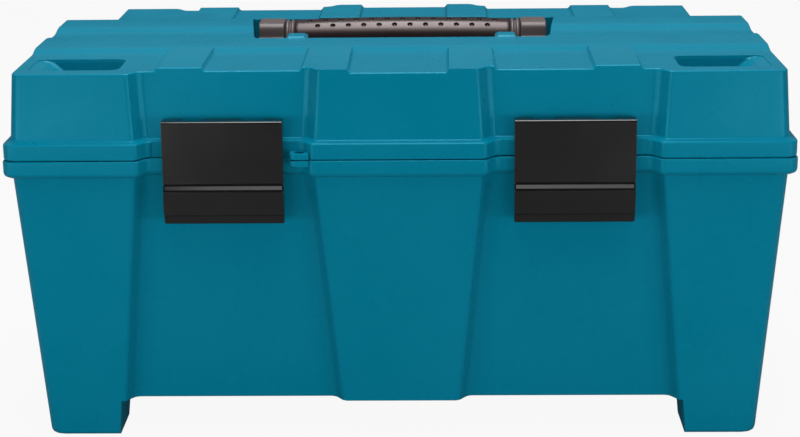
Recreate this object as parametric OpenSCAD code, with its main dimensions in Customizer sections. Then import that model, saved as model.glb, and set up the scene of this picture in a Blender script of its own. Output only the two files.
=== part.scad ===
// Hard tool case: drafted base and lid shells, two lid latches, two rear hinges, fold-down carrying handle.
// Millimetres. X runs across the front, -Y is the front, Z is up. The origin is on the floor, under the middle.

/* [Case body] */
// Half width of the shell walls where they meet the rim
wall_half_w = 193.6; // [180:0.1:210]
// Half depth of the shell walls where they meet the rim
wall_half_d = 105.1; // [98:0.1:120]
// Height of the seam between base and lid
seam_z = 150.9; // [135:0.1:175]
// Height from the seam to the flat of the lid's top
lid_h = 42.6; // [38:0.1:60]
// Wall thickness of both shells
wall = 2.5; // [2:0.1:3]
// Draft of the base's end walls, in degrees
base_draft_x = 3.8; // [2:0.1:4.5]
// Draft of the base's front and rear walls, in degrees
base_draft_y = 4.8; // [2:0.1:5.5]
// Draft of the lid's end walls, in degrees
lid_draft_x = 3.2; // [1:0.1:5]
// Draft of the lid's front and rear walls, in degrees
lid_draft_y = 5.2; // [2:0.1:6]
// Radius of the upright corners
corner_r = 6; // [4:0.5:9]

/* [Rim] */
// How far the base rim stands out of the wall
rim_out = 3.9; // [3:0.1:5]
// How much further in the lid rim stands
lid_rim_inset = 0.5; // [0.2:0.1:1]
// Height of the base rim
base_rim_h = 9; // [6:0.1:10]
// Height of the lid rim's upright face
lid_rim_h = 8.2; // [6:0.1:9]
// Height of the slope above the lid rim
lid_rim_slope = 1.2; // [0.8:0.1:3]
// Gap between the two rims
seam_gap = 0.3; // [0.2:0.05:0.6]
// Height of the locating lip inside the seam
lip_h = 3; // [2:0.1:4]
// Thickness of the locating lip
lip_t = 1.6; // [1.2:0.1:1.8]
// Clearance round the locating lip
lip_gap = 0.3; // [0.2:0.05:0.5]

/* [Recesses and feet] */
// Depth of the front and rear recesses
recess_d = 7.1; // [5:0.1:8]
// Width of the slope at each side of a recess
recess_slope = 4.6; // [3:0.1:6]
// Half width of the centre block at the rim
block_half_w = 41.5; // [38:0.1:44]
// Distance from the middle to a corner block at the rim
corner_x = 131.8; // [129:0.1:140]
// How fast the base's blocks narrow downwards, in degrees
base_block_taper = 5.4; // [2:0.1:6]
// How fast the lid's blocks narrow upwards, in degrees
lid_block_taper = 3.3; // [1:0.1:4]
// Height of the feet under the floor
foot_h = 19.2; // [12:0.1:24]
// Distance from the middle to a foot's inner side
foot_x = 147.3; // [146:0.1:152]
// Distance from the middle to a foot's inner end
foot_y = 61.7; // [50:0.1:70]

/* [Lid top] */
// Rise of the four bands that run front to rear
band_rise = 1.8; // [1:0.1:2.1]
// Width of a band
band_w = 22.2; // [16:0.1:26]
// Middle of the inner bands
band_inner_x = 36.3; // [32:0.1:40]
// Middle of the outer bands
band_outer_x = 108.7; // [104:0.1:114]
// Rise of the two cross steps
step_rise = 2.2; // [1.5:0.1:3]
// Length, front to rear, of the small pocket in a front corner
pocket_d = 30; // [20:0.1:32]
// Width of the small pocket
pocket_w = 45.6; // [30:0.1:46]
// Depth of the small pocket
pocket_h = 9; // [5:0.1:12]
// How far the rear corners are cut down
corner_cut_h = 9.5; // [5:0.1:12]

/* [Handle] */
// Length of the grip sleeve
grip_l = 120; // [100:0.5:124]
// Radius at the middle of the grip
grip_r = 12; // [10:0.1:12.5]
// How much thinner the grip is at its ends
grip_crown = 1.3; // [0.5:0.1:2]
// Width of one collar beside the grip
collar_w = 5.4; // [4:0.1:6]
// Width of one handle arm
arm_w = 14.2; // [10:0.1:14.5]
// How much further out an arm stands at the grip than at its pivot
arm_splay = 3.5; // [0:0.1:4]
// Radius of the core that carries the grip
core_r = 7; // [5:0.1:8]
// Distance from the pivot back to the grip's axis
arm_reach = 44; // [40:0.5:46]
// Depth of the handle well below the lid's top
well_h = 26; // [22:0.5:27]
// Radius of the handle pivot pins
handle_pin_r = 2.5; // [2:0.1:2.8]
// Angle that the handle is drawn at
handle_angle = 0; // [0:1:90]

/* [Latches and hinges] */
// Width of a latch
latch_w = 60; // [50:0.5:64]
// Distance from the middle to a latch's middle
latch_x = 87.3; // [84:0.1:90]
// Radius of the latch pins
latch_pin_r = 1.5; // [1.2:0.1:1.7]
// Thickness of the latch plate
latch_t = 2.8; // [2:0.1:3]
// Height of a latch from its pin to its lower edge
latch_drop = 48.9; // [46:0.1:52]
// Height of the finger ledge above the latch's lower edge
ledge_rise = 20.2; // [18:0.1:22]
// Distance from the middle to a hinge's middle
hinge_x = 87; // [84:0.5:90]
// Outer radius of the hinge barrels
hinge_r = 4.2; // [3.5:0.1:4.6]
// Radius of the hinge pins
hinge_pin_r = 1.75; // [1.4:0.05:2]
// Radius of the padlock hole
padlock_r = 2.4; // [2:0.1:2.5]
// Angle that the lid is drawn at
lid_angle = 0; // [0:1:110]
// Angle that the latches are drawn at
latch_angle = 0; // [0:1:120]

/* [Fits] */
// Radial clearance of a pin where it turns
run_gap = 0.05; // [0.03:0.01:0.09]
// Radial clearance of a pin where it is held
seat_gap = 0.02; // [0.01:0.01:0.02]
// Side clearance between parts that turn past each other
side_gap = 0.4; // [0.3:0.05:0.6]

/* [Hidden] */
teal = [0.0, 0.44, 0.54];
warm_grey = [0.38, 0.35, 0.35];
latch_black = [0.09, 0.09, 0.09];
steel = [0.72, 0.72, 0.74];
$fn = 48;
arc_steps = 3;                 // straight pieces in the rounding of an upright corner
bevel_steps = 1;               // straight pieces along the edges of a recess
edge_r = 1.6;                  // radius along the recess edges
hollow_r = 3;                  // radius in the recess corners
foot_edge_r = 2.4;             // rounding under the feet
far = 600;                     // longer than the case, for cutters

base_top_z = seam_z - seam_gap / 2;
lid_bottom_z = seam_z + seam_gap / 2;
base_wall_z = seam_z - base_rim_h;
lid_wall_z = seam_z + lid_rim_h + lid_rim_slope;
top_z = seam_z + lid_h;
step_z = top_z + step_rise;
band_z = top_z + band_rise;

// Points of a closed path with each corner [x, y, radius, steps] turned into an arc of that many pieces.
function unit(v) = v / norm(v);
function cross2(a, b) = a[0] * b[1] - a[1] * b[0];
function corner_arc(prev, here, next) =
    let (p = [here[0], here[1]],
         a = unit([prev[0], prev[1]] - p),
         b = unit([next[0], next[1]] - p),
         half = acos(max(-1, min(1, a * b))) / 2,
         reach = here[2] / tan(half),
         centre = p + unit(a + b) * here[2] / sin(half),
         from = p + a * reach - centre,
         to = p + b * reach - centre,
         turn = atan2(cross2(from, to), from * to))
    [for (i = [0 : here[3]]) let (t = turn * i / here[3])
        centre + [from[0] * cos(t) - from[1] * sin(t), from[0] * sin(t) + from[1] * cos(t)]];
function round_path(corners) =
    let (n = len(corners))
    [for (i = [0 : n - 1]) each corner_arc(corners[(i + n - 1) % n], corners[i], corners[(i + 1) % n])];

// A closed solid through rings of equal point counts; each ring is [z, clockwise points], lowest first.
module loft(rings) {
    n = len(rings[0][1]);
    pts = [for (r = rings) for (i = [n - 1 : -1 : 0]) [r[1][i][0], r[1][i][1], r[0]]];
    sides = [for (k = [0 : len(rings) - 2]) for (i = [0 : n - 1]) let (j = (i + 1) % n)
        each [[k * n + i, (k + 1) * n + i, (k + 1) * n + j], [k * n + i, (k + 1) * n + j, k * n + j]]];
    bottom = [[for (i = [0 : n - 1]) i]];
    last = (len(rings) - 1) * n;
    top = [[for (i = [n - 1 : -1 : 0]) last + i]];
    polyhedron(points = pts, faces = concat(sides, bottom, top), convexity = 6);
}

// What lies between two heights, cut off level.
module between(z0, z1) {
    difference() {
        children();
        translate([-far / 2, -far / 2, z0 - far]) cube(far);
        translate([-far / 2, -far / 2, z1]) cube(far);
    }
}

function turned(corner, sx, sy) = [corner[0] * sx, corner[1] * sy, corner[2], corner[3]];
// Outline of the case in plan: half width, half depth, block edge, corner block edge, all moved out by grow.
function case_outline(hw, hd, block, corner, grow) =
    let (side = norm([recess_slope, recess_d]),
         shift = grow * (side - recess_slope) / recess_d,
         b = block + shift, c = corner - shift,
         x = hw + grow, y = hd + grow, yi = hd - recess_d + grow,
         quarter = [[x, y, corner_r, arc_steps], [c, y, edge_r, bevel_steps],
                    [c - recess_slope, yi, hollow_r, bevel_steps],
                    [b + recess_slope, yi, hollow_r, bevel_steps], [b, y, edge_r, bevel_steps]])
    round_path(concat(
        [for (q = quarter) turned(q, 1, -1)], [for (i = [4 : -1 : 0]) turned(quarter[i], -1, -1)],
        [for (q = quarter) turned(q, -1, 1)], [for (i = [4 : -1 : 0]) turned(quarter[i], 1, 1)]));

// Outlines of the two shells at a height, moved out by grow.
function base_ring(z, grow) =
    let (drop = max(0, base_wall_z - z))
    [z, case_outline(wall_half_w - drop * tan(base_draft_x), wall_half_d - drop * tan(base_draft_y),
                     block_half_w - drop * tan(base_block_taper), corner_x + drop * tan(base_block_taper), grow)];
function lid_ring(z, grow) =
    let (rise = max(0, z - lid_wall_z))
    [z, case_outline(wall_half_w - rise * tan(lid_draft_x), wall_half_d - rise * tan(lid_draft_y),
                     block_half_w - rise * tan(lid_block_taper), corner_x + rise * tan(lid_block_taper), grow)];

// A prism along X from a profile in Y and Z, centred on x, and one along Y, centred on the middle.
module prism_x(x, w, profile) {
    translate([x - w / 2, 0, 0]) rotate([90, 0, 90]) linear_extrude(w) polygon(profile);
}
module prism_y(l, profile) {
    translate([0, l / 2, 0]) rotate([90, 0, 0]) linear_extrude(l) polygon(profile);
}
module rod_x(x, w, y, z, r) {
    translate([x - w / 2, y, z]) rotate([0, 90, 0]) cylinder(h = w, r = r);
}
module both_sides() {
    children();
    mirror([1, 0, 0]) children();
}

// Hinge line, behind the rims at the seam.
hinge_y = wall_half_d + rim_out + 1.5;
hinge_z = seam_z;
knuckle_w = 20;
end_knuckle_w = 14;
hinge_l = knuckle_w + 2 * end_knuckle_w + 2 * side_gap;
rear_rim_y = wall_half_d - recess_d + rim_out;

// Padlock tab beside the centre block, left of the middle.
tab_w = 9.5;
tab_h = 3.1;
tab_x = -(block_half_w + rim_out + tab_w / 2 - 1);
tab_root_y = wall_half_d - recess_d + 2.2;
tab_front_y = wall_half_d + rim_out - 0.1;
tab_hole_y = -(tab_front_y - padlock_r - 1.6);

module tab(z) {
    difference() {
        translate([0, 0, z]) linear_extrude(tab_h) polygon(round_path([
            [tab_x - tab_w / 2, -tab_front_y, 2.4, 3], [tab_x + tab_w / 2, -tab_front_y, 0.4, 1],
            [tab_x + tab_w / 2, -tab_root_y, 0.4, 1], [tab_x - tab_w / 2, -tab_root_y, 0.4, 1]]));
        translate([tab_x, tab_hole_y, z - 1]) cylinder(h = tab_h + 2, r = padlock_r);
    }
}

// One foot's hollow, seen from above, at a height.
foot_gap = 2.2;
function foot_hollow(z) =
    let (hw = wall_half_w - (base_wall_z - z) * tan(base_draft_x) - wall - 0.4,
         hd = wall_half_d - (base_wall_z - z) * tan(base_draft_y) - wall - 0.4)
    [z, round_path([[foot_x + wall, -foot_y - wall, foot_gap, 1], [hw, -foot_y - wall, foot_gap, 1],
                    [hw, -hd, corner_r - 1, 2], [foot_x + wall, -hd, foot_gap, 1]])];

module base_outside() {
    between(0, base_top_z) loft([base_ring(-1, -foot_edge_r), base_ring(0, -foot_edge_r),
        base_ring(foot_edge_r * 0.3, -foot_edge_r * 0.3), base_ring(foot_edge_r, 0), base_ring(base_wall_z, 0),
        base_ring(base_wall_z + 0.2, rim_out - 1.6), base_ring(base_wall_z + 1.8, rim_out),
        base_ring(base_top_z + 2, rim_out)]);
}
module base_underside() {
    prism_y(far, [[-foot_x, -1], [foot_x, -1], [foot_x, 0], [foot_x - 1.8, foot_h], [-foot_x + 1.8, foot_h],
                  [-foot_x, 0]]);
    prism_x(0, far, [[-foot_y, -1], [foot_y, -1], [foot_y, 0], [foot_y - 1.5, foot_h - 0.4],
                     [-foot_y + 1.5, foot_h - 0.4], [-foot_y, 0]]);
}
module base_lip() {
    translate([0, 0, base_top_z - 1]) linear_extrude(lip_h + 1) polygon(base_ring(base_top_z, lip_t - wall)[1]);
}
module hinge_knuckle(x, w, up) {
    face_z = up ? lid_bottom_z + 0.2 : base_top_z - 0.2;
    root_z = up ? lid_bottom_z + lid_rim_h - 1.8 : base_wall_z + 3.4;
    tip_z = hinge_z + (up ? hinge_r * 0.8 : -hinge_r * 0.8);
    tip_y = hinge_y - hinge_r * 0.2;
    rod_x(x, w, hinge_y, hinge_z, hinge_r);
    prism_x(x, w, up
        ? [[rear_rim_y - 2, face_z], [hinge_y, face_z], [tip_y, tip_z], [rear_rim_y - 2, root_z]]
        : [[rear_rim_y - 2, face_z], [rear_rim_y - 2, root_z], [tip_y, tip_z], [hinge_y, face_z]]);
}
module base_cavity() {
    between(foot_h + wall, base_top_z + lip_h + 1)
        loft([base_ring(foot_h, -wall), base_ring(base_wall_z, -wall), base_ring(base_top_z + lip_h + 2, -wall)]);
    for (sy = [0, 1]) mirror([0, sy, 0]) both_sides() loft([foot_hollow(wall), foot_hollow(foot_h + wall + 1)]);
}
module base_shell() {
    color(teal) difference() {
        union() {
            base_outside();
            base_lip();
            tab(base_top_z - tab_h - 0.1);
            both_sides() for (s = [-1, 1])
                hinge_knuckle(hinge_x + s * (knuckle_w + end_knuckle_w + 2 * side_gap) / 2, end_knuckle_w, false);
        }
        base_underside();
        base_cavity();
        both_sides() rod_x(hinge_x, hinge_l + 2, hinge_y, hinge_z, hinge_pin_r + seat_gap);
    }
}

// Handle well in plan: wider at the rear; and where the handle turns and lies.
well_front_y = -14;
well_rear_y = 56;
well_floor_z = step_z - well_h;
pivot_y = -6;
pivot_z = step_z - 6.5;
arm_end_r = 4.6;
grip_y = pivot_y + arm_reach;
grip_z = step_z + 2.3 - grip_r;
arm_x1 = grip_l / 2 + collar_w + 0.4;
arm_x0 = arm_x1 - arm_splay;
well_front_x = arm_x0 + arm_w + 1.8;
well_rear_x = arm_x1 + arm_w + 5.5;
lug_w = 11.5;
lug_x = arm_x0 - side_gap - lug_w / 2;
pin_outer_x = well_front_x + wall + 3;

function well_plan(grow) = round_path([
    [-well_front_x - grow, well_front_y - grow, 3, 2], [well_front_x + grow, well_front_y - grow, 3, 2],
    [well_rear_x + grow, well_rear_y + grow, 3, 2], [-well_rear_x - grow, well_rear_y + grow, 3, 2]]);
module well(grow, floor_z, up_to) {
    translate([0, 0, floor_z]) linear_extrude(up_to - floor_z) polygon(well_plan(grow));
}
// The left and right corner pockets: steep inner end, sloping outer end.
pocket_x = 139.6;
pocket_front_y = -91;
function pocket_ring(z, inset, slope) =
    [z, round_path([[pocket_x + inset, pocket_front_y + pocket_d - inset, 5, 3],
                    [pocket_x + pocket_w - inset - slope, pocket_front_y + pocket_d - inset, 3.5, 3],
                    [pocket_x + pocket_w - inset - slope, pocket_front_y + inset, 3.5, 3],
                    [pocket_x + inset, pocket_front_y + inset, 5, 3]])];
module pocket(grow) {
    loft(concat([pocket_ring(top_z - pocket_h - grow, 2.2 - grow, 13), pocket_ring(top_z - 1.6, 0.6 - grow, 4.5),
                 pocket_ring(top_z - 0.5, -grow, 0)],
                grow > 0 ? [] : [pocket_ring(top_z + 4, 0, 0)]));
}
// The rear corners, cut down by corner_cut_h from inset inwards.
corner_cut_x = 164.7;
corner_cut_y = 60;
module rear_corner(inset) {
    translate([corner_cut_x - inset, corner_cut_y - inset, top_z - corner_cut_h - inset]) cube([far, far, far]);
}
// Two cross steps, as a profile from front to rear; each has a ramp at its front and rear.
function eased(y0, y1, z0, z1) = [for (t = [0, 0.3, 0.65, 1]) [y0 + (y1 - y0) * t, z0 + (z1 - z0) * t * t * (3 - 2 * t)]];
step_profile = concat(eased(-47.5, -37.5, top_z, step_z), eased(-10, 5, step_z, top_z - 0.01),
                      eased(15, 27.5, top_z - 0.01, step_z), eased(50, 60, step_z, top_z),
                      [[60, top_z - 5], [-47.5, top_z - 5]]);
// Each band has a front and a rear run, which end inside the front and the rear step.
band_runs = [[-far / 2, -20], [40, far / 2]];
band_slope = 1.2;
module bands() {
    for (x = [-band_outer_x, -band_inner_x, band_inner_x, band_outer_x], run = band_runs)
        translate([x, (run[0] + run[1]) / 2, 0])
            prism_y(run[1] - run[0], [[-band_w / 2 - band_slope, top_z], [-band_w / 2 - band_slope, top_z - 5],
                [band_w / 2 + band_slope, top_z - 5], [band_w / 2 + band_slope, top_z],
                [band_w / 2, band_z], [-band_w / 2, band_z]]);
}
module lid_outside() {
    rim = rim_out - lid_rim_inset;
    difference() {
        between(lid_bottom_z, step_z)
            loft([lid_ring(lid_bottom_z - 1, rim), lid_ring(seam_z + lid_rim_h, rim), lid_ring(lid_wall_z, 0),
                  lid_ring(step_z + 1, 0)]);
        difference() {
            translate([-far / 2, -far / 2, top_z]) cube([far, far, 20]);
            bands();
            prism_x(0, far, step_profile);
        }
        both_sides() rear_corner(0);
    }
}
module lid_inside() {
    step = base_top_z + lip_h + lip_gap + 0.5;
    lip_clear = -wall + lip_t + lip_gap;
    difference() {
        between(lid_bottom_z - 1, top_z - wall)
            loft([lid_ring(lid_bottom_z - 2, lip_clear), lid_ring(step, lip_clear), lid_ring(step + 0.6, -wall),
                  lid_ring(lid_wall_z, -wall), lid_ring(top_z, -wall)]);
        both_sides() rear_corner(wall);
    }
}

// Latch line: pin centre in front of the recess wall, above the rim.
latch_y = -(wall_half_d - recess_d + rim_out + 0.7);
latch_rise = 6.7;
latch_z = lid_wall_z + latch_rise;
latch_barrel_r = 4.6;
latch_front_y = latch_y - latch_barrel_r;
latch_lug_r = 2.8;
latch_lug_w = 10;
latch_lug_dx = 15;
module latch_lug(x) {
    rod_x(x, latch_lug_w, latch_y, latch_z, latch_lug_r);
    prism_x(x, latch_lug_w, [[latch_y, latch_z - latch_lug_r * 0.6], [latch_y + 2, lid_wall_z - 5],
        [latch_y + 7, lid_wall_z - 2], [latch_y + 7, lid_wall_z + 1], [latch_y + latch_lug_r * 0.6, latch_z]]);
}
module handle_lug() {
    top = step_z + 1;
    intersection() {
        prism_x(lug_x, lug_w, concat([[well_front_y - 1.4, well_floor_z - 1], [pivot_y + 6.5, well_floor_z - 1]],
            [for (t = [0 : 15 : 90]) [pivot_y + 1 + 5.5 * cos(t), top - 5.5 + 5.5 * sin(t)]],
            [[well_front_y, top], [well_front_y - 1.4, top - 1.2]]));
        translate([lug_x, 0, 0]) prism_y(far, [[-lug_w, top - 60], [lug_w, top - 60], [lug_w / 2 + 0.5, top - 2.6],
            [lug_w / 2 - 1.5, top + 0.1], [-lug_w / 2 + 1.5, top + 0.1], [-lug_w / 2 - 0.5, top - 2.6]]);
    }
}
module lid_shell() {
    color(teal) difference() {
        union() {
            difference() {
                lid_outside();
                lid_inside();
            }
            well(wall, well_floor_z - wall, top_z - 0.5);
            both_sides() {
                pocket(wall);
                rod_x(pin_outer_x - 2, 6, pivot_y, pivot_z, handle_pin_r + 2);
            }
            for (s = [-1, 1]) for (d = [-1, 1]) latch_lug(s * latch_x + d * latch_lug_dx);
            both_sides() handle_lug();
            tab(lid_bottom_z + 0.1);
            both_sides() hinge_knuckle(hinge_x, knuckle_w, true);
        }
        difference() {
            well(0, well_floor_z, step_z + 20);
            both_sides() handle_lug();
        }
        both_sides() {
            pocket(0);
            rod_x((lug_x - lug_w / 2 - 1 + pin_outer_x + 0.2) / 2, pin_outer_x + 0.2 - (lug_x - lug_w / 2 - 1),
                  pivot_y, pivot_z, handle_pin_r + seat_gap);
            rod_x(hinge_x, knuckle_w + 2, hinge_y, hinge_z, hinge_pin_r + run_gap);
        }
        for (s = [-1, 1]) rod_x(s * latch_x, latch_w, latch_y, latch_z, latch_pin_r + seat_gap);
    }
}

// Handle: two arms and a core in one moulding, with a sleeve and two collars on the core.
arm_profile = round_path([
    [pivot_y - arm_end_r, pivot_z - arm_end_r, arm_end_r - 0.1, 4],
    [pivot_y - arm_end_r, pivot_z + arm_end_r, arm_end_r - 0.1, 4], [pivot_y + 3, pivot_z + arm_end_r, 3, 2],
    [pivot_y + 12, pivot_z - 0.2, 6, 2], [grip_y - 10.4, pivot_z - 1.2, 1.5, 2], [grip_y - 10.4, step_z + 0.8, 4.5, 3],
    [grip_y + 10.4, step_z + 0.8, 3, 3], [grip_y + 10.4, grip_z - 10.4, 5, 3], [grip_y - 8, grip_z - 10.4, 6, 3],
    [pivot_y + 20, pivot_z - 5.2, 8, 2], [pivot_y + 5, pivot_z - arm_end_r, 3, 2]]);
arm_plan = [[arm_x0, pivot_y - 20], [arm_x0 + arm_w, pivot_y - 20], [arm_x0 + arm_w, pivot_y + 12],
            [arm_x1 + arm_w, grip_y - 14], [arm_x1 + arm_w, grip_y + 20], [arm_x1, grip_y + 20],
            [arm_x1, grip_y - 14], [arm_x0, pivot_y + 12]];
module handle_arm() {
    intersection() {
        prism_x((arm_x0 + arm_x1 + arm_w) / 2, arm_w + arm_splay + 6, arm_profile);
        translate([0, 0, grip_z - 30]) linear_extrude(60) polygon(arm_plan);
    }
}
module handle_bail() {
    color(warm_grey) difference() {
        union() {
            both_sides() handle_arm();
            rod_x(0, 2 * arm_x1 + 1, grip_y, grip_z, core_r);
        }
        both_sides() rod_x(arm_x0 + arm_w / 2, arm_w + 2, pivot_y, pivot_z, handle_pin_r + run_gap);
    }
}
module grip_sleeve() {
    n = 16;
    color(warm_grey) translate([0, grip_y, grip_z]) rotate([0, 90, 0]) rotate_extrude($fn = 64) polygon(concat(
        [[core_r + seat_gap, -grip_l / 2], [core_r + seat_gap, grip_l / 2]],
        [for (i = [n : -1 : 0]) let (t = 2 * i / n - 1) [grip_r - grip_crown * t * t, t * grip_l / 2]]));
}
module grip_collar() {
    r = grip_r - grip_crown;
    color(warm_grey) translate([grip_l / 2 + 0.1, grip_y, grip_z]) rotate([0, 90, 0]) rotate_extrude($fn = 64)
        polygon([[core_r + seat_gap, 0], [r - 1, 0], [r + 0.2, 0.7], [r + 0.2, 1.7], [r - 0.9, 2.4],
                 [r - 0.9, 2.9], [r + 0.2, 3.6], [r + 0.2, collar_w - 0.8], [r - 0.9, collar_w], [core_r + seat_gap, collar_w]]);
}
module handle_pin() {
    color(steel) rod_x((lug_x - lug_w / 2 + 0.8 + pin_outer_x) / 2, pin_outer_x - lug_x + lug_w / 2 - 0.8,
                       pivot_y, pivot_z, handle_pin_r);
}

// Latch: plate with a hinge barrel on top, a finger ledge low on the front and a catch nose behind.
ledge_out = 2.4;
latch_bottom_z = latch_z - latch_drop;
ledge_z = latch_bottom_z + ledge_rise;
latch_top_z = latch_z + latch_barrel_r * sin(45);
head_r = 1.1;
latch_head = concat(
    [[latch_front_y, latch_z - 1], [latch_front_y, latch_top_z - head_r]],
    [for (t = [22.5 : 22.5 : 90]) [latch_front_y + head_r - head_r * cos(t), latch_top_z - head_r + head_r * sin(t)]],
    [for (t = [45 : -15 : -45]) [latch_y + latch_barrel_r * cos(t), latch_z + latch_barrel_r * sin(t)]],
    [[latch_y, latch_z - latch_barrel_r + 0.3]]);
module latch(x) {
    inner_y = latch_front_y + latch_t;
    cheek_y = -(rear_rim_y + 0.5);
    cheek_t = 2.2;
    slot_w = latch_lug_w + 2 * side_gap;
    plate = [[latch_front_y, latch_z + 0.7], [latch_front_y, ledge_z], [latch_front_y - ledge_out, ledge_z - 2.7],
             [latch_front_y - 1.5, latch_bottom_z + 5], [latch_front_y - 0.4, latch_bottom_z + 4.4],
             [latch_front_y + 0.4, latch_bottom_z], [latch_front_y + 2.6, latch_bottom_z],
             [latch_front_y + 1.2, latch_bottom_z + 6], [latch_front_y + 0.6, ledge_z - 3.6], [inner_y, ledge_z + 0.5],
             [inner_y, latch_z + 0.7]];
    cheek = [[latch_front_y, latch_z + 0.4], [latch_front_y, ledge_z], [latch_front_y - ledge_out, ledge_z - 2.7],
             [latch_front_y - 1.5, latch_bottom_z + 5], [latch_front_y - 0.4, latch_bottom_z + 4.4],
             [latch_front_y + 0.4, latch_bottom_z], [cheek_y - 1, latch_bottom_z], [cheek_y, latch_bottom_z + 2],
             [cheek_y, latch_z + 0.4]];
    nose = [[inner_y - 0.5, ledge_z + 0.4], [cheek_y - 0.1, base_wall_z - 2.6], [cheek_y - 0.1, base_wall_z - 1.2],
            [inner_y - 0.5, base_wall_z - 0.6]];
    wedge = [[latch_y, latch_z], [latch_y, latch_z - 9], [latch_y + 9, latch_z - 9], [latch_y + 9, latch_z + 9],
             [latch_y - 9 * tan(20), latch_z + 9]];
    color(latch_black) difference() {
        union() {
            difference() {
                prism_x(x, latch_w, latch_head);
                for (d = [-1, 1]) {
                    rod_x(x + d * latch_lug_dx, slot_w, latch_y, latch_z, latch_lug_r + 0.3);
                    prism_x(x + d * latch_lug_dx, slot_w, wedge);
                }
            }
            prism_x(x, latch_w, plate);
            for (s = [-1, 1]) prism_x(x + s * (latch_w - cheek_t) / 2, cheek_t, cheek);
            prism_x(x, latch_w - 16, nose);
        }
        for (d = [-1, 1]) rod_x(x + d * latch_lug_dx, slot_w, latch_y, latch_z, latch_lug_r + 0.3);
        rod_x(x, latch_w - 2 * cheek_t, latch_y, latch_z, latch_pin_r + run_gap);
    }
}
module latch_pin(x) {
    color(steel) rod_x(x, latch_w - 5, latch_y, latch_z, latch_pin_r);
}
module hinge_pin() {
    color(steel) rod_x(hinge_x, hinge_l, hinge_y, hinge_z, hinge_pin_r);
}

// The whole case, moved so that the origin is under the middle of its length and depth; and the places of the
// moving groups when the file is opened with an angle other than rest.
case_mid_y = (hinge_y + hinge_r + latch_front_y - ledge_out) / 2;
module on_floor() {
    translate([0, -case_mid_y, 0]) children();
}
module on_lid() {
    on_floor() translate([0, hinge_y, hinge_z]) rotate([-lid_angle, 0, 0]) translate([0, -hinge_y, -hinge_z]) children();
}
module on_handle() {
    on_lid() translate([0, pivot_y, pivot_z]) rotate([handle_angle, 0, 0]) translate([0, -pivot_y, -pivot_z]) children();
}
module on_latch() {
    on_lid() translate([0, latch_y, latch_z]) rotate([-latch_angle, 0, 0]) translate([0, -latch_y, -latch_z]) children();
}

on_floor() base_shell();
on_lid() lid_shell();
on_handle() handle_bail();
on_handle() grip_sleeve();
on_handle() mirror([1, 0, 0]) grip_collar();  // grip_collar_left
on_handle() grip_collar();  // grip_collar_right
on_lid() mirror([1, 0, 0]) handle_pin();  // handle_pin_left
on_lid() handle_pin();  // handle_pin_right
on_latch() latch(-latch_x);  // latch_left
on_latch() latch(latch_x);  // latch_right
on_lid() latch_pin(-latch_x);  // latch_pin_left
on_lid() latch_pin(latch_x);  // latch_pin_right
on_floor() mirror([1, 0, 0]) hinge_pin();  // hinge_pin_left
on_floor() hinge_pin();  // hinge_pin_right
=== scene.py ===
# Looks of the hard tool case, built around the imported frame:
# materials, rounded mouldings, dimpled grip, stage, light and camera.
import bpy, bmesh, math
from mathutils import Matrix, Vector
from mathutils.bvhtree import BVHTree
from mathutils.kdtree import KDTree


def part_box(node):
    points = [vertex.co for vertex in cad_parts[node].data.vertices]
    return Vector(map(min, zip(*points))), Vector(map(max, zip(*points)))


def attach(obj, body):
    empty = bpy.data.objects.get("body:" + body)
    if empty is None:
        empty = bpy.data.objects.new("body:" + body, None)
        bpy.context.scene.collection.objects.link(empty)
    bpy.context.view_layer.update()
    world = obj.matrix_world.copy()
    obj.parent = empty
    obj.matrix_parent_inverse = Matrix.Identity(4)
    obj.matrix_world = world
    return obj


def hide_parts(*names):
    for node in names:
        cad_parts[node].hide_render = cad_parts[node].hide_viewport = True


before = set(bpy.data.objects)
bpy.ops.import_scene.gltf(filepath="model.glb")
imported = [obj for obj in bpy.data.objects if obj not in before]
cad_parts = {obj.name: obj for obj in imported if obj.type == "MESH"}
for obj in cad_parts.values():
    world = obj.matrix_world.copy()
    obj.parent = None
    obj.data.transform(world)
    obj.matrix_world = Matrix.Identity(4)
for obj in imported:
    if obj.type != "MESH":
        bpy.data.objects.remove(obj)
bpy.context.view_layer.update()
MM = 0.001


# ---------------------------------------------------------------- materials
MOTTLE, CLOUD, DRAWN = 14.0, 45.0, 900.0    # noise cells per metre: of the colour, of the gloss, of drawn metal
MID_NOISE = (0.35, 0.65)                    # the middle values of a noise, which a ramp spreads out
MOTTLE_SHARE = 0.12                         # of the pale colour, at most, that the mottling adds
EDGE_SHARE = 0.15                           # of the pale colour, at most, that a sharp edge adds: rubbed wear and a painted edge highlight
WEAR_AND_HIGHLIGHT_AT = (0.52, 0.60)                       # pointiness at which an edge starts to pale, and is as pale as it gets
GLOSS_SPREAD = (0.03, 0.04)                 # how far a plastic's roughness wanders below and above its mean
DRAWN_SPREAD = (0.06, 0.08)                 # the same of a drawn metal
GRAIN_STRENGTH = 0.35
COAT_ROUGH = 0.10


def new_material(name):
    m = bpy.data.materials.new(name)
    m.use_nodes = True
    nt = m.node_tree
    return m, nt, nt.nodes["Principled BSDF"]


def link(nt, source, output, target, socket):
    """Links two nodes by the names or numbers of their sockets."""
    nt.links.new(source.outputs[output], target.inputs[socket])


def noise(nt, scale, detail=2.0, rough=0.5):
    """A noise on the object's own coordinates."""
    coords = nt.nodes.get("coords") or nt.nodes.new("ShaderNodeTexCoord")
    coords.name = "coords"
    n = nt.nodes.new("ShaderNodeTexNoise")
    n.inputs["Scale"].default_value = scale
    n.inputs["Detail"].default_value = detail
    n.inputs["Roughness"].default_value = rough
    link(nt, coords, "Object", n, "Vector")
    return n


def ramp(nt, source, output, to, across=MID_NOISE):
    """Maps a value from the stretch across onto the stretch to, and holds it at both ends."""
    r = nt.nodes.new("ShaderNodeMapRange")
    r.inputs["From Min"].default_value, r.inputs["From Max"].default_value = across
    r.inputs["To Min"].default_value, r.inputs["To Max"].default_value = to
    link(nt, source, output, r, "Value")
    return r


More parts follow.
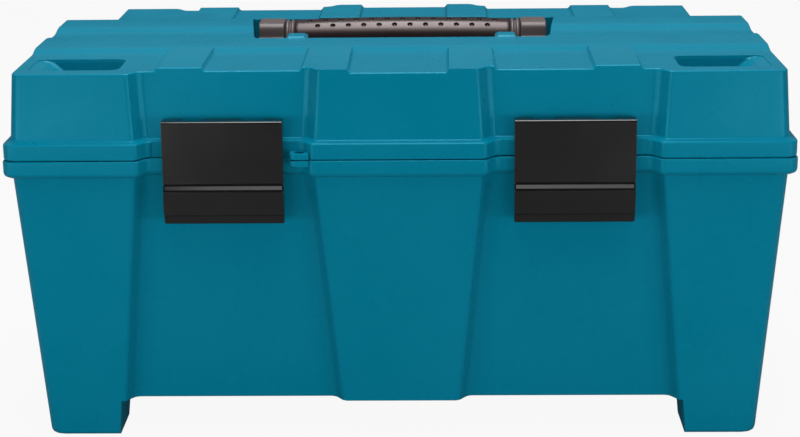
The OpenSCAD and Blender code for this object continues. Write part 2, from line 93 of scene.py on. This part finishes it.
def uneven_gloss(nt, bsdf, source, rough, spread):
    """Roughness that wanders about its mean with a noise."""
    varied = ramp(nt, source, "Fac", (rough - spread[0], rough + spread[1]))
    link(nt, varied, "Result", bsdf, "Roughness")


def plastic(name, colour, pale, rough, grain_mm, grain_h_mm, spec, coat=0.0,
            gloss_tint=(1.0, 1.0, 1.0)):
    """Moulded plastic: slight mottling of the colour, fine surface grain, uneven gloss, and sharp edges paled as
    rubbed wear and as a painted highlight.
    """
    m, nt, bsdf = new_material(name)
    geometry = nt.nodes.new("ShaderNodeNewGeometry")
    # sharp edges paled: partly rubbed wear, partly a painted highlight along the edges
    worn_highlit_edge = ramp(nt, geometry, "Pointiness", (0.0, EDGE_SHARE), WEAR_AND_HIGHLIGHT_AT)
    mottled = ramp(nt, noise(nt, MOTTLE, detail=3.0), "Fac", (0.0, MOTTLE_SHARE))
    paleness = nt.nodes.new("ShaderNodeMath")
    paleness.operation = "ADD"
    link(nt, mottled, "Result", paleness, 0)
    link(nt, worn_highlit_edge, "Result", paleness, 1)
    tint = nt.nodes.new("ShaderNodeMix")
    tint.data_type = "RGBA"
    tint.inputs["A"].default_value = (*colour, 1)
    tint.inputs["B"].default_value = (*pale, 1)
    link(nt, paleness, "Value", tint, "Factor")
    link(nt, tint, "Result", bsdf, "Base Color")
    uneven_gloss(nt, bsdf, noise(nt, CLOUD, detail=4.0), rough, GLOSS_SPREAD)
    grain = nt.nodes.new("ShaderNodeBump")
    grain.inputs["Strength"].default_value = GRAIN_STRENGTH
    grain.inputs["Distance"].default_value = grain_h_mm * MM
    link(nt, noise(nt, 1 / (grain_mm * MM), rough=0.6), "Fac", grain, "Height")
    link(nt, grain, "Normal", bsdf, "Normal")
    bsdf.inputs["Specular IOR Level"].default_value = spec
    bsdf.inputs["Specular Tint"].default_value = (*gloss_tint, 1)
    bsdf.inputs["Coat Weight"].default_value = coat
    bsdf.inputs["Coat Roughness"].default_value = COAT_ROUGH
    return m


def metal(name, colour, rough):
    m, nt, bsdf = new_material(name)
    uneven_gloss(nt, bsdf, noise(nt, DRAWN), rough, DRAWN_SPREAD)
    bsdf.inputs["Base Color"].default_value = (*colour, 1)
    bsdf.inputs["Metallic"].default_value = 1.0
    return m


TEAL = plastic("teal_plastic", colour=(0.0, 0.166, 0.258), pale=(0.01, 0.225, 0.335), rough=0.28,
               grain_mm=0.55, grain_h_mm=0.015, spec=0.22, gloss_tint=(0.15, 0.75, 1.0))
GREY = plastic("warm_grey_plastic", colour=(0.094, 0.072, 0.073), pale=(0.16, 0.13, 0.13), rough=0.42,
               grain_mm=0.5, grain_h_mm=0.04, spec=0.4)
GRIP = plastic("grip_plastic", colour=(0.016, 0.009, 0.009), pale=(0.05, 0.036, 0.036), rough=0.29,
               grain_mm=0.5, grain_h_mm=0.02, spec=0.45, gloss_tint=(1.0, 0.84, 0.84))
BLACK = plastic("black_plastic", colour=(0.0036, 0.0033, 0.0033), pale=(0.014, 0.013, 0.013), rough=0.22,
                grain_mm=0.9, grain_h_mm=0.02, spec=0.3, coat=0.3)
STEEL = metal("steel_pin", colour=(0.56, 0.56, 0.58), rough=0.28)


# ---------------------------------------------------------------- mesh tools
def scene_object(name, data):
    o = bpy.data.objects.new(name, data)
    bpy.context.scene.collection.objects.link(o)
    return o


def evaluated(o):
    """The object with its modifiers applied."""
    return o.evaluated_get(bpy.context.evaluated_depsgraph_get())


def smooth_but_sharp(me, sharp_deg):
    """Smooth shading, with the edges of at least this many degrees kept sharp."""
    bm = bmesh.new()
    bm.from_mesh(me)
    for e in bm.edges:
        e.smooth = len(e.link_faces) == 2 and math.degrees(e.calc_face_angle(0.0)) < sharp_deg
    for f in bm.faces:
        f.smooth = True
    bm.to_mesh(me)
    bm.free()


# ---------------------------------------------------------------- rounded mouldings
WELD = 0.002 * MM           # corners closer than this are one
FLAT_DEG = 0.6              # faces that meet at less than this are one
CREASE_DEG = 24.0           # an edge that turns by at least this is a crease, and gets rounded
SHARP_DEG = 37.0            # an edge that turns by at least this after the rounding is shaded sharp
SEGMENTS = 3                # of each rounding
ROOM_SHARE = 0.42           # of a face's depth or a neighbouring edge's length that one rounding may take
LEAST_ROOM = 0.1            # of the full width, which even the shortest neighbouring edge leaves
TRIES = 8                   # roundings of one piece, each weaker where the one before went wrong
STRAY = 0.45                # widths from the flat faces at which a rounded corner has gone wrong
STRAY_REACH = 0.8           # widths round such a corner within which the creases get weaker
AGAINST = 0.2               # a rounded face whose normal agrees less than this with the flat face has gone wrong
SPECK = 0.02 * MM ** 2      # such a face smaller than this does no harm
WEAKER = 0.35               # factor on the width of a crease that went wrong
FAINT = 0.15                # share of the full width below which such a crease isn't rounded at all
TURNED = 0.5                # a triangle whose normal agrees less than this with its own face is turned over
TURNED_AREA = 25 * MM ** 2  # of such triangles in one face, from which the face is split before the rounding
SAME_FACE = 0.99            # agreement of the normals of a rounded face and the flat face that it came from


def flat_faced(node):
    """The mesh of a CAD node in the world's frame, welded, its flat faces joined."""
    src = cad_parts[node]
    bm = bmesh.new()
    bm.from_mesh(src.data)
    bm.transform(src.matrix_world)
    bmesh.ops.remove_doubles(bm, verts=bm.verts, dist=WELD)
    bmesh.ops.dissolve_limit(bm, angle_limit=math.radians(FLAT_DEG), use_dissolve_boundaries=False,
                             verts=bm.verts, edges=bm.edges, delimit=set())
    bm.faces.ensure_lookup_table()
    return bm


def crease_widths(bm, wide):
    """How far each crease can be rounded: by the full width, or less beside a short edge or in a narrow face."""
    room = {}
    for e in bm.edges:
        if len(e.link_faces) != 2 or math.degrees(e.calc_face_angle(0.0)) < CREASE_DEG:
            continue
        start = e.verts[0].co
        along = (e.verts[1].co - start).normalized()
        r = wide
        for f in e.link_faces:
            depth = max(((v.co - start) - along * (v.co - start).dot(along)).length for v in f.verts)
            r = min(r, ROOM_SHARE * depth)
        for v in e.verts:
            for other in v.link_edges:
                if other is not e:
                    r = min(r, max(ROOM_SHARE * other.calc_length(), LEAST_ROOM * wide))
        room[e] = r
    return room


def wrong_corners(got, flat, corners, wide):
    """The flat mesh's corners near which the rounded mesh strays from the flat faces or turns against them."""
    wrong = set()
    for v in got.vertices:
        near, _, _, dist = flat.find_nearest(v.co)
        if dist > STRAY * wide:
            wrong.add(corners.find(v.co)[1])
            wrong.update(i for _, i, _ in corners.find_range(near, STRAY_REACH * wide))
    for p in got.polygons:
        _, n, _, _ = flat.find_nearest(p.center)
        if p.normal.dot(n) < AGAINST and p.area > SPECK:
            wrong.add(corners.find(p.center)[1])
    return wrong


def rounded(node, name, wide, split):
    """A mesh of a CAD node with its creases rounded, and the tree of its flat faces before any is split."""
    bm = flat_faced(node)
    whole = BVHTree.FromBMesh(bm)
    bmesh.ops.connect_verts_concave(bm, faces=[bm.faces[i] for i in split])
    bmesh.ops.recalc_face_normals(bm, faces=bm.faces)
    room = crease_widths(bm, wide)
    bm.verts.index_update()
    bm.edges.index_update()
    bm.normal_update()
    flat = BVHTree.FromBMesh(bm)
    corners = KDTree(len(bm.verts))
    for v in bm.verts:
        corners.insert(v.co, v.index)
    corners.balance()
    ends = {e.index: (e.verts[0].index, e.verts[1].index) for e in room}
    weight = {e.index: r / wide for e, r in room.items()}
    plain = bpy.data.meshes.new(name + "_plain")
    bm.to_mesh(plain)
    bm.free()
    for extra in ("custom_normal", "sharp_edge", "sharp_face"):
        if extra in plain.attributes:
            plain.attributes.remove(plain.attributes[extra])
    plain.attributes.new("bevel_weight_edge", "FLOAT", "EDGE")

    o = scene_object(name, plain)
    bevel = o.modifiers.new("round", "BEVEL")
    bevel.limit_method = "WEIGHT"
    bevel.width = wide
    bevel.segments = SEGMENTS
    bevel.use_clamp_overlap = False
    bevel.miter_outer = "MITER_ARC"
    for attempt in range(TRIES):
        weights = [weight.get(i, 0.0) for i in range(len(plain.edges))]
        plain.attributes["bevel_weight_edge"].data.foreach_set("value", weights)
        plain.update_tag()
        wrong = wrong_corners(evaluated(o).to_mesh(), flat, corners, wide)
        if not wrong or attempt == TRIES - 1:
            break
        for i, (a, b) in ends.items():
            if a in wrong or b in wrong:
                weight[i] *= WEAKER if weight[i] > FAINT else 0.0
    me = bpy.data.meshes.new_from_object(evaluated(o))
    bpy.data.objects.remove(o)
    bpy.data.meshes.remove(plain)
    return me, whole


def folded(me, whole):
    """The flat faces that the rounding turned over in part, found from the triangles of the rounded faces."""
    me.calc_loop_triangles()
    turned = {}
    for t in me.loop_triangles:
        if t.normal.dot(me.polygons[t.polygon_index].normal) < TURNED:
            turned[t.polygon_index] = turned.get(t.polygon_index, 0.0) + t.area
    found = set()
    for i, area_over in turned.items():
        if area_over < TURNED_AREA:
            continue
        p = me.polygons[i]
        under = []
        for v in p.vertices:
            _, n, face, _ = whole.find_nearest(me.vertices[v].co)
            if n.dot(p.normal) > SAME_FACE:
                under.append(face)
        if under:
            found.add(max(set(under), key=under.count))
    return found


def soften(node, name, material, body, width_mm):
    """A copy of a CAD node with rounded creases. Faces that a trial rounding turns over are split for the real one."""
    wide = width_mm * MM
    trial, whole = rounded(node, name, wide, ())
    split = folded(trial, whole)
    bpy.data.meshes.remove(trial)
    me, _ = rounded(node, name, wide, split)
    me.name = name
    for extra in ("bevel_weight_edge", "custom_normal"):
        if extra in me.attributes:
            me.attributes.remove(me.attributes[extra])
    me.materials.clear()
    me.materials.append(material)
    smooth_but_sharp(me, SHARP_DEG)
    o = scene_object(name, me)
    flat_shading = o.modifiers.new("flat", "WEIGHTED_NORMAL")
    flat_shading.mode = "FACE_AREA"
    flat_shading.weight = 50
    flat_shading.keep_sharp = True
    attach(o, body)
    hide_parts(node)


soften("base_shell", "base_moulding", TEAL, "base", 1.0)
soften("lid_shell", "lid_moulding", TEAL, "lid", 1.0)
for side in ("left", "right"):
    soften("latch_" + side, "latch_plate_" + side, BLACK, side + "_latch", 0.9)
soften("handle_bail", "bail_moulding", GREY, "handle", 0.8)
for side in ("left", "right"):
    soften("grip_collar_" + side, "collar_" + side, GREY, "handle", 0.25)
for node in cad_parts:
    if "pin" in node:
        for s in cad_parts[node].material_slots:
            s.material = STEEL


# ---------------------------------------------------------------- grip
CROWN = 1.3 * MM                            # by which the sleeve is thinner at its ends than in the middle
BORE = 7.02 * MM                            # radius of the hole, just clear of the core
END_ROUND = 0.8 * MM
END_ARC = (0, 30, 60)                       # degrees round that rounding at which its points lie
STATIONS, TURNS = 90, 144                   # steps along the sleeve and round it
SEAM = 1e-4 * MM                            # points of the profile closer than this are one
GRIP_SHARP_DEG = 24.0                       # an edge of the grip that turns by at least this is shaded sharp
DIMPLE_PITCH = 8.62 * MM
DIMPLE_ROWS = ((12, 39.0), (13, 13.0))      # dimples in each row, and its angle in degrees to the front of the top
DIMPLE_TURNS = 28
# Half of a dimple's section, and of the cutter above it, in mm: distance from its axis, height over the sleeve.
DIMPLE = [(0.0, -1.10), (0.55, -1.00), (0.95, -0.76), (1.18, -0.46), (1.30, -0.20), (1.44, -0.05),
          (1.75, 0.14), (1.75, 1.5), (0.0, 1.5)]


def lathe(bm, origin, along, profile, turns):
    """Turns a profile of (distance from the axis, height along it) round an axis; closed where it meets the axis."""
    along = along.normalized()
    u = along.orthogonal().normalized()
    v = along.cross(u)
    rings = []
    for r, h in profile:
        at = origin + along * h
        if r == 0.0:
            rings.append([bm.verts.new(at)])
        else:
            rings.append([bm.verts.new(at + (u * math.cos(t) + v * math.sin(t)) * r)
                          for t in (2 * math.pi * k / turns for k in range(turns))])
    for a, b in zip(rings, rings[1:]):
        for k in range(turns):
            n = (k + 1) % turns
            around = [a[k % len(a)], a[n % len(a)], b[n % len(b)], b[k % len(b)]]
            bm.faces.new(list(dict.fromkeys(around)))


def mesh_object(bm, name):
    bmesh.ops.recalc_face_normals(bm, faces=bm.faces)
    me = bpy.data.meshes.new(name)
    bm.to_mesh(me)
    bm.free()
    return scene_object(name, me)


def grip():
    """The barrel-shaped sleeve on its core, with two rows of flared round dimples on its upper side."""
    lo, hi = (Vector(c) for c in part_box("grip_sleeve"))
    mid = (lo + hi) / 2
    half = (hi.x - lo.x) / 2
    r_mid = (hi.z - lo.z) / 2

    def radius(x):
        return r_mid - CROWN * (x / half) ** 2

    straight = half - END_ROUND
    arc = [(math.sin(math.radians(a)), 1 - math.cos(math.radians(a))) for a in END_ARC]
    left_end = [(radius(half) - END_ROUND + END_ROUND * s, -half + END_ROUND * c) for s, c in arc]
    stations = [-straight + 2 * straight * i / STATIONS for i in range(STATIONS + 1)]
    profile = [(BORE, -half), *left_end]
    profile += [(radius(x), x) for x in stations]
    profile += [(r, -x) for r, x in reversed(left_end)]
    profile += [(BORE, half), (BORE, -half)]
    bm = bmesh.new()
    lathe(bm, mid, Vector((1, 0, 0)), profile, TURNS)
    bmesh.ops.remove_doubles(bm, verts=bm.verts, dist=SEAM)
    sleeve = mesh_object(bm, "grip_dimpled")

    section = [(r * MM, h * MM) for r, h in DIMPLE]
    bm = bmesh.new()
    for count, angle in DIMPLE_ROWS:
        out = Vector((0, -math.sin(math.radians(angle)), math.cos(math.radians(angle))))
        for i in range(count):
            x = (i - (count - 1) / 2) * DIMPLE_PITCH
            lathe(bm, mid + Vector((x, 0, 0)) + out * radius(x), out, section, DIMPLE_TURNS)
    cutter = mesh_object(bm, "dimple_cutter")
    cut = sleeve.modifiers.new("dimples", "BOOLEAN")
    cut.operation = "DIFFERENCE"
    cut.solver = "EXACT"
    cut.object = cutter
    me = bpy.data.meshes.new_from_object(evaluated(sleeve))
    sleeve.modifiers.clear()
    bpy.data.objects.remove(cutter)
    sleeve.data = me
    me.name = "grip_dimpled"
    me.materials.clear()
    me.materials.append(GRIP)
    smooth_but_sharp(me, GRIP_SHARP_DEG)
    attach(sleeve, "handle")
    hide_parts("grip_sleeve")


grip()


# ---------------------------------------------------------------- stage
FLOOR_HALF = 6.0            # metres from the middle of the floor to its sides
FLOOR_GREY = 0.24           # the floor's own colour, which takes the shadow and lights the object from below
FLOOR_SEEN = 0.93           # share of plain white in what the camera sees of it
SOFT_ROOM = 0.36            # strength of the even light from all round
ROOM_FRONT, ROOM_BACK = 0.05, 0.06      # strength of the room in reflections, in front of and behind the object
ROOM_TURN = (0.80, 0.95)                # Y of the direction over which the one goes over into the other


def floor():
    """Pale grey ground that takes the object's shadow, seen nearly white."""
    m, nt, bsdf = new_material("pale_floor")
    bsdf.inputs["Base Color"].default_value = (FLOOR_GREY, FLOOR_GREY, FLOOR_GREY, 1)
    bsdf.inputs["Roughness"].default_value = 0.6
    bsdf.inputs["Specular IOR Level"].default_value = 0.1
    white = nt.nodes.new("ShaderNodeEmission")
    white.inputs["Color"].default_value = (1, 1, 1, 1)
    white.inputs["Strength"].default_value = 1.0
    path = nt.nodes.new("ShaderNodeLightPath")
    share = nt.nodes.new("ShaderNodeMath")
    share.operation = "MULTIPLY"
    share.inputs[1].default_value = FLOOR_SEEN
    mix = nt.nodes.new("ShaderNodeMixShader")
    link(nt, path, "Is Camera Ray", share, 0)
    link(nt, share, "Value", mix, "Fac")
    link(nt, bsdf, "BSDF", mix, 1)
    link(nt, white, "Emission", mix, 2)
    link(nt, mix, "Shader", nt.nodes["Material Output"], "Surface")
    me = bpy.data.meshes.new("floor")
    s = FLOOR_HALF
    me.from_pydata([(-s, -s, 0), (s, -s, 0), (s, s, 0), (-s, s, 0)], [], [(0, 1, 2, 3)])
    me.materials.append(m)
    o = scene_object("floor", me)


floor()


def studio_world():
    """White to the camera, dim to reflections and transmission, and even and soft to all other rays."""
    world = bpy.data.worlds.new("studio")
    bpy.context.scene.world = world
    world.use_nodes = True
    wt = world.node_tree
    soft = wt.nodes["Background"]
    soft.inputs["Color"].default_value = (1, 1, 1, 1)
    soft.inputs["Strength"].default_value = SOFT_ROOM
    white = wt.nodes.new("ShaderNodeBackground")
    white.inputs["Color"].default_value = (1, 1, 1, 1)
    white.inputs["Strength"].default_value = 1.0
    room = wt.nodes.new("ShaderNodeBackground")
    coords = wt.nodes.new("ShaderNodeTexCoord")
    direction = wt.nodes.new("ShaderNodeSeparateXYZ")
    link(wt, coords, "Generated", direction, "Vector")
    depth = ramp(wt, direction, "Y", (ROOM_FRONT, ROOM_BACK), ROOM_TURN)
    link(wt, depth, "Result", room, "Strength")
    path = wt.nodes.new("ShaderNodeLightPath")
    sharp_ray = wt.nodes.new("ShaderNodeMath")
    sharp_ray.operation = "MAXIMUM"
    link(wt, path, "Is Glossy Ray", sharp_ray, 0)
    link(wt, path, "Is Transmission Ray", sharp_ray, 1)
    gloss = wt.nodes.new("ShaderNodeMixShader")
    link(wt, sharp_ray, "Value", gloss, "Fac")
    link(wt, soft, "Background", gloss, 1)
    link(wt, room, "Background", gloss, 2)
    seen = wt.nodes.new("ShaderNodeMixShader")
    link(wt, path, "Is Camera Ray", seen, "Fac")
    link(wt, gloss, "Shader", seen, 1)
    link(wt, white, "Background", seen, 2)
    link(wt, seen, "Shader", wt.nodes["World Output"], "Surface")


studio_world()


# ---------------------------------------------------------------- light
def area(name, at, towards, size, watts):
    """A rectangular area light: places and sizes in metres."""
    light = bpy.data.lights.new(name, "AREA")
    light.shape = "RECTANGLE"
    light.size, light.size_y = size
    light.energy = watts
    o = scene_object(name, light)
    o.location = at
    o.rotation_euler = (Vector(towards) - Vector(at)).to_track_quat("-Z", "Y").to_euler()


area("overhead", at=(0.0, 0.06, 1.5), towards=(0.0, 0.06, 0.0), size=(0.62, 1.12), watts=24)
area("front_high", at=(0.0, -0.73, 1.5), towards=(0.0, -0.73, 0.0), size=(0.62, 0.45), watts=2.4)
area("behind", at=(0.0, 0.55, 0.56), towards=(0.0, 0.0, 0.2), size=(1.6, 0.45), watts=0.3)
for side in (-1, 1):
    area("key_%d" % side, at=(side * 0.62, -0.75, 0.12), towards=(0, 0, 0.08), size=(0.85, 0.22), watts=3.1)


# ---------------------------------------------------------------- camera
PHOTO_WIDTH, FOCAL_LENGTH = 800.0, 1930.482             # pixels
SENSOR = 36.0                                           # mm
EYE = Vector((19.368, -1037.802, 373.893)) * MM
DOWN, RIGHTWARD, TILT = (math.radians(a) for a in (15.26, -1.17, -0.58))


def camera():
    """The photo's camera, from its place and three angles: down, to the right, and about its own axis."""
    ahead = math.cos(DOWN)
    forward = Vector((ahead * math.sin(RIGHTWARD), ahead * math.cos(RIGHTWARD), -math.sin(DOWN)))
    level = forward.cross(Vector((0, 0, 1))).normalized()
    plumb = level.cross(forward)
    right = level * math.cos(TILT) + plumb * math.sin(TILT)
    up = -level * math.sin(TILT) + plumb * math.cos(TILT)
    lens = bpy.data.cameras.new("camera")
    lens.sensor_fit = "HORIZONTAL"
    lens.sensor_width = SENSOR
    lens.lens = FOCAL_LENGTH / PHOTO_WIDTH * SENSOR
    o = scene_object("camera", lens)
    o.matrix_world = Matrix((
        (right.x, up.x, -forward.x, EYE.x),
        (right.y, up.y, -forward.y, EYE.y),
        (right.z, up.z, -forward.z, EYE.z),
        (0, 0, 0, 1)))
    bpy.context.scene.camera = o


camera()
bpy.context.scene.view_settings.view_transform = "Standard"
